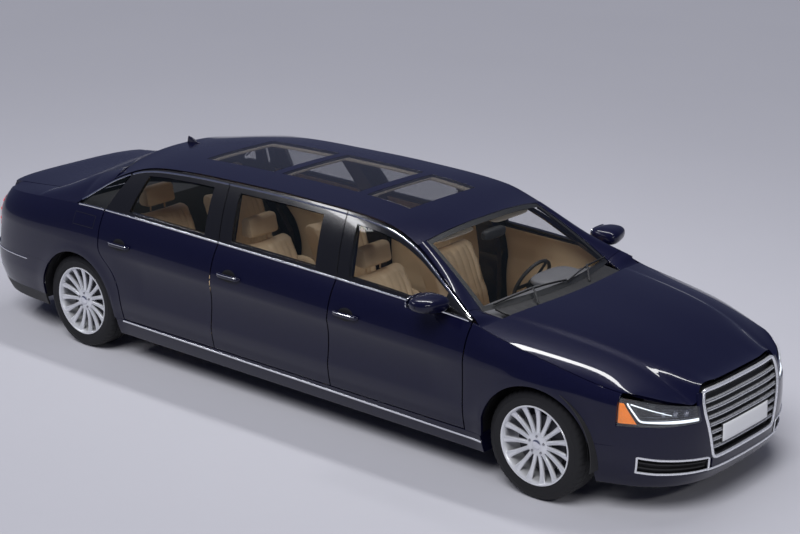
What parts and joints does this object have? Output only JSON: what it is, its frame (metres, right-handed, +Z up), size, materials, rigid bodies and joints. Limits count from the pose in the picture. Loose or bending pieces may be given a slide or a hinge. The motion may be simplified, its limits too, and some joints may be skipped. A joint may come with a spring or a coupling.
{
  "type": "stretch limousine",
  "caption": "Long six-door saloon car with three rows of seats, opening doors, hood and boot lid, and steered front wheels; it rolls on its wheels.",
  "frame": {"origin": "on the ground under the middle of the car", "axes": "+X to the front of the car, +Y to its left, +Z up"},
  "size_m": [6.3648, 2.22, 1.4989],
  "materials": {
    "paint": "gloss",
    "window_glass": "gloss",
    "roof_glass": "gloss",
    "chrome": "polished",
    "lamp_clear": "gloss",
    "lamp_red": "gloss",
    "black_plastic": "satin",
    "steel": "satin",
    "leather": "satin",
    "tyre": "matte",
    "alloy": "satin"
  },
  "bodies": {
    "body": {"floor_pan": "black_plastic", "sills": "paint", "body_side_frames": "paint", "front_fenders": "paint", "rear_quarters": "paint", "roof_panel": "paint", "roof_glass": "roof_glass", "windscreen": "window_glass", "cowl": "black_plastic", "rear_window": "window_glass", "quarter_windows": "window_glass", "front_bumper": "paint", "rear_bumper": "paint", "grille": "chrome", "headlamps": "lamp_clear", "tail_lamps": "lamp_red", "wheel_housings": "black_plastic", "engine": "steel", "subframes": "steel", "dashboard": "black_plastic", "consoles": "black_plastic", "seat_cushions": "leather", "seat_backs": "leather", "hinge_pins": "steel"},
    "front_door_left": {"front_door_left": "paint", "front_glass_left": "window_glass", "mirror_left": "paint"},
    "centre_door_left": {"centre_door_left": "paint", "centre_glass_left": "window_glass"},
    "rear_door_left": {"rear_door_left": "paint", "rear_glass_left": "window_glass"},
    "front_knuckle_left": {"front_knuckle_left": "steel"},
    "front_wheel_left": {"front_wheel_left": "alloy", "front_tyre_left": "tyre"},
    "rear_wheel_left": {"rear_wheel_left": "alloy", "rear_tyre_left": "tyre"},
    "front_door_right": {"front_door_right": "paint", "front_glass_right": "window_glass", "mirror_right": "paint"},
    "centre_door_right": {"centre_door_right": "paint", "centre_glass_right": "window_glass"},
    "rear_door_right": {"rear_door_right": "paint", "rear_glass_right": "window_glass"},
    "front_knuckle_right": {"front_knuckle_right": "steel"},
    "front_wheel_right": {"front_wheel_right": "alloy", "front_tyre_right": "tyre"},
    "rear_wheel_right": {"rear_wheel_right": "alloy", "rear_tyre_right": "tyre"},
    "hood": {"hood": "paint"},
    "boot_lid": {"boot_lid": "paint"},
    "steering_wheel": {"steering_wheel": "black_plastic"}
  },
  "joints": [
    {"name": "front_door_left_hinge", "type": "hinge", "parent": "body", "child": "front_door_left", "pos_m": [1.637, 0.945, 0.615], "axis": [0, 0, -1], "range_deg": [0, 65]},
    {"name": "centre_door_left_hinge", "type": "hinge", "parent": "body", "child": "centre_door_left", "pos_m": [0.492, 0.945, 0.615], "axis": [0, 0, -1], "range_deg": [0, 65]},
    {"name": "rear_door_left_hinge", "type": "hinge", "parent": "body", "child": "rear_door_left", "pos_m": [-0.613, 0.945, 0.615], "axis": [0, 0, -1], "range_deg": [0, 65]},
    {"name": "front_door_right_hinge", "type": "hinge", "parent": "body", "child": "front_door_right", "pos_m": [1.637, -0.945, 0.615], "axis": [0, 0, 1], "range_deg": [0, 65]},
    {"name": "centre_door_right_hinge", "type": "hinge", "parent": "body", "child": "centre_door_right", "pos_m": [0.492, -0.945, 0.615], "axis": [0, 0, 1], "range_deg": [0, 65]},
    {"name": "rear_door_right_hinge", "type": "hinge", "parent": "body", "child": "rear_door_right", "pos_m": [-0.613, -0.945, 0.615], "axis": [0, 0, 1], "range_deg": [0, 65]},
    {"name": "hood_hinge", "type": "hinge", "parent": "body", "child": "hood", "pos_m": [1.7575, 0, 0.962], "axis": [0, -1, 0], "range_deg": [0, 50]},
    {"name": "boot_lid_hinge", "type": "hinge", "parent": "body", "child": "boot_lid", "pos_m": [-2.5095, 0, 1.07669], "axis": [0, 1, 0], "range_deg": [0, 75]},
    {"name": "steer_left", "type": "hinge", "parent": "body", "child": "front_knuckle_left", "pos_m": [2.2525, 0.715, 0.356], "axis": [0, 0, 1], "range_deg": [-32, 32]},
    {"name": "steer_right", "type": "hinge", "parent": "body", "child": "front_knuckle_right", "pos_m": [2.2525, -0.715, 0.356], "axis": [0, 0, 1], "range_deg": [-32, 32]},
    {"name": "front_wheel_left_spin", "type": "hinge", "parent": "front_knuckle_left", "child": "front_wheel_left", "pos_m": [2.2525, 0.812, 0.356], "axis": [0, 1, 0], "continuous": true},
    {"name": "rear_wheel_left_spin", "type": "hinge", "parent": "body", "child": "rear_wheel_left", "pos_m": [-1.9675, 0.812, 0.356], "axis": [0, 1, 0], "continuous": true},
    {"name": "front_wheel_right_spin", "type": "hinge", "parent": "front_knuckle_right", "child": "front_wheel_right", "pos_m": [2.2525, -0.812, 0.356], "axis": [0, 1, 0], "continuous": true},
    {"name": "rear_wheel_right_spin", "type": "hinge", "parent": "body", "child": "rear_wheel_right", "pos_m": [-1.9675, -0.812, 0.356], "axis": [0, 1, 0], "continuous": true},
    {"name": "steering_wheel_turn", "type": "hinge", "parent": "body", "child": "steering_wheel", "pos_m": [1.2425, 0.372, 0.872], "axis": [-0.9063, 0, 0.4226], "range_deg": [-448, 448]}
  ],
  "couplings": [
    {"joint": "steer_right", "follows": "steer_left", "ratio": 1},
    {"joint": "steering_wheel_turn", "follows": "steer_left", "ratio": 14}
  ]
}
